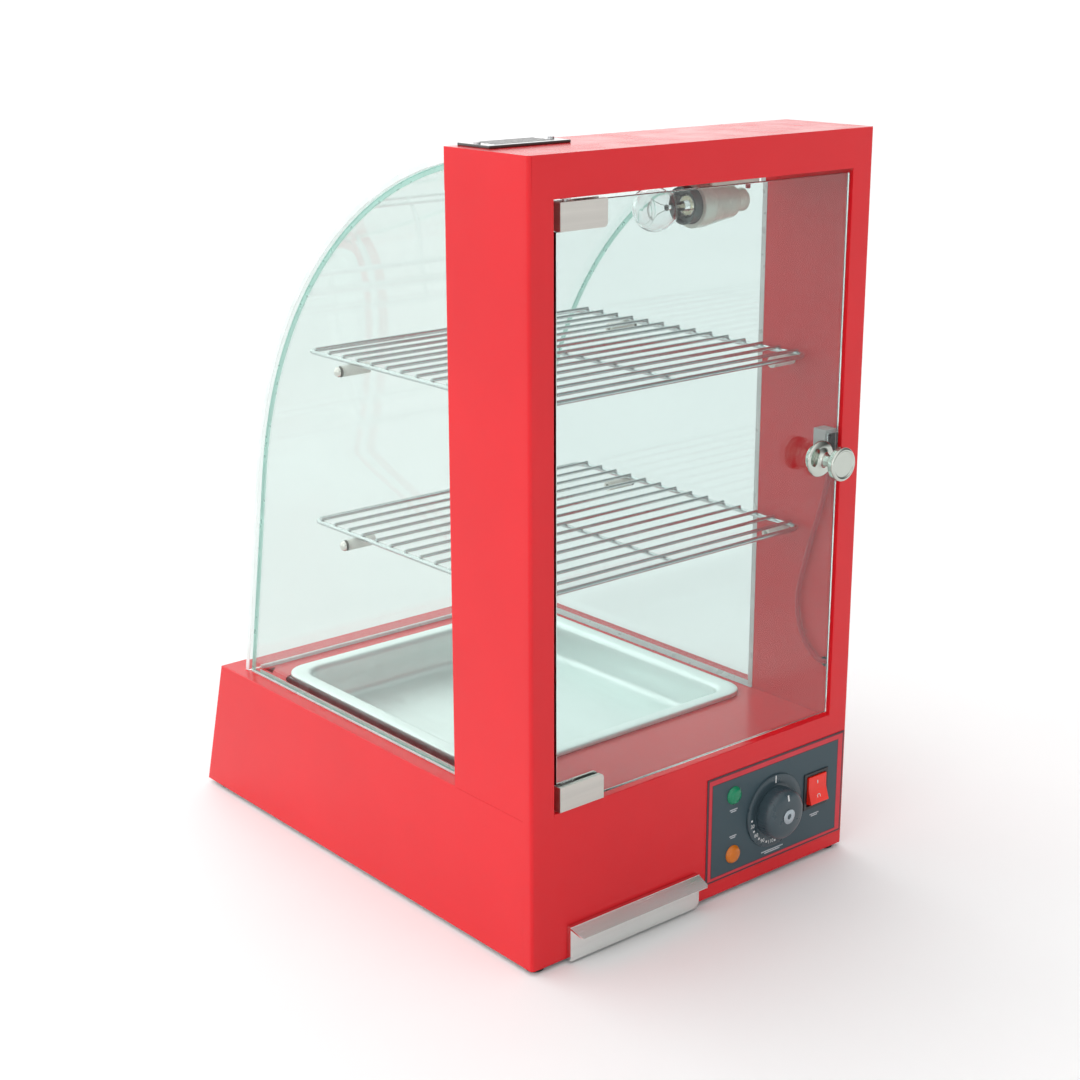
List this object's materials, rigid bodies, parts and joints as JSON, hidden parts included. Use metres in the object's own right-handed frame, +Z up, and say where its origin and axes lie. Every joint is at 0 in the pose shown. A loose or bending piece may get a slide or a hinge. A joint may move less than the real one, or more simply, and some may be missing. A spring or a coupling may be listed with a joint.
{
  "type": "hot food display case",
  "caption": "Countertop hot food display case with curved glass, hinged glass door, wire shelves, lift-out pan, pull-out crumb tray, lamp, thermostat dial and rocker switch.",
  "frame": {"origin": "on the surface the case stands on, under the middle of its bounding box", "axes": "+Z up; -Y towards the operator, where the door and the controls are; +Y towards the customer, where the glass is curved; +X to the operator's right"},
  "size_m": [0.35, 0.5, 0.6174],
  "materials": {
    "red_paint": "gloss powder coat",
    "cabinet_glass": "clear toughened, polished edges",
    "door_glass": "clear toughened, polished edges",
    "bulb_glass": "clear",
    "clear_sealant": "translucent silicone",
    "black_plastic": "gloss moulded",
    "switch_plastic": "satin moulded",
    "dial_plastic": "gloss moulded",
    "foot_rubber": "matt",
    "chrome": "polished",
    "shelf_wire": "bright plated wire",
    "satin_steel": "satin",
    "tray_steel": "satin sheet",
    "pan_steel": "bright pressed sheet",
    "screw_steel": "zinc plated",
    "galvanised_sheet": "galvanised",
    "element_sheath": "oxidised tube",
    "copper_tube": "drawn copper",
    "lamp_ceramic": "glazed cream",
    "lamp_brass": "threaded cap",
    "socket_metal": "dark",
    "cream_plastic": "satin sleeve",
    "control_field": "satin printed plate",
    "green_lens": "translucent",
    "orange_lens": "translucent",
    "rocker_red": "translucent gloss",
    "white_plastic": "moulded",
    "blue_wire": "insulated wire",
    "red_lead": "sleeved lead",
    "catch_grey": "moulded",
    "badge_metal": "turned"
  },
  "bodies": {
    "cabinet": {"left_post": "red_paint", "right_post": "red_paint", "header": "red_paint", "front_panel": "red_paint", "left_side_panel": "red_paint", "right_side_panel": "red_paint", "customer_panel": "red_paint", "deck": "red_paint", "bottom_plate": "galvanised_sheet", "left_glass": "cabinet_glass", "right_glass": "cabinet_glass", "curved_glass": "cabinet_glass", "glass_seals": "clear_sealant", "vent_grille": "black_plastic", "grille_screws": "screw_steel", "lamp_holder": "lamp_ceramic", "lamp_socket": "socket_metal", "lamp_bulb": "bulb_glass", "lamp_base": "lamp_brass", "peg_sleeves": "cream_plastic", "peg_screws": "chrome", "heat_box": "galvanised_sheet", "heating_element": "element_sheath", "element_clips": "screw_steel", "heat_shield": "galvanised_sheet", "thermostat_body": "switch_plastic", "capillary": "copper_tube", "dial_ring": "dial_plastic", "control_plate": "control_field", "rocker_housing": "switch_plastic", "green_indicator": "green_lens", "orange_indicator": "orange_lens", "terminal_block": "white_plastic", "inner_wiring": "blue_wire", "lamp_lead": "red_lead", "lead_grommets": "black_plastic", "mains_gland": "black_plastic", "feet": "foot_rubber", "underside_screws": "screw_steel", "tray_guides": "galvanised_sheet", "pivot_bushes": "white_plastic", "magnetic_catch": "catch_grey"},
    "door": {"door_glass": "door_glass", "top_clamp": "satin_steel", "bottom_clamp": "satin_steel", "clamp_pads": "foot_rubber", "clamp_screws": "screw_steel", "pivot_pins": "screw_steel", "door_knob": "chrome", "knob_nut": "chrome", "strike_plate": "screw_steel"},
    "thermostat_dial": {"thermostat_knob": "dial_plastic", "thermostat_shaft": "screw_steel", "knob_badge": "badge_metal"},
    "rocker": {"rocker_button": "rocker_red"},
    "crumb_tray": {"crumb_tray": "tray_steel"},
    "upper_shelf": {"upper_shelf": "shelf_wire"},
    "lower_shelf": {"lower_shelf": "shelf_wire"},
    "food_pan": {"food_pan": "pan_steel"}
  },
  "joints": [
    {"name": "door_hinge", "type": "hinge", "parent": "cabinet", "child": "door", "pos_m": [-0.1395, -0.221, 0.354], "axis": [0, 0, -1], "range_deg": [0, 110]},
    {"name": "thermostat_turn", "type": "hinge", "parent": "cabinet", "child": "thermostat_dial", "pos_m": [0.086, -0.235, 0.061], "axis": [0, 1, 0], "range_deg": [0, 300]},
    {"name": "rocker_tilt", "type": "hinge", "parent": "cabinet", "child": "rocker", "pos_m": [0.137, -0.221, 0.065], "axis": [1, 0, 0], "range_deg": [0, 18]},
    {"name": "crumb_tray_slide", "type": "slide", "parent": "cabinet", "child": "crumb_tray", "axis": [0, -1, 0], "range_m": [0, 0.25]},
    {"name": "upper_shelf_lift", "type": "slide", "parent": "cabinet", "child": "upper_shelf", "axis": [0, 0, 1], "range_m": [0, 0.018]},
    {"name": "lower_shelf_lift", "type": "slide", "parent": "cabinet", "child": "lower_shelf", "axis": [0, 0, 1], "range_m": [0, 0.1]},
    {"name": "food_pan_lift", "type": "slide", "parent": "cabinet", "child": "food_pan", "axis": [0, 0, 1], "range_m": [0, 0.09]}
  ]
}
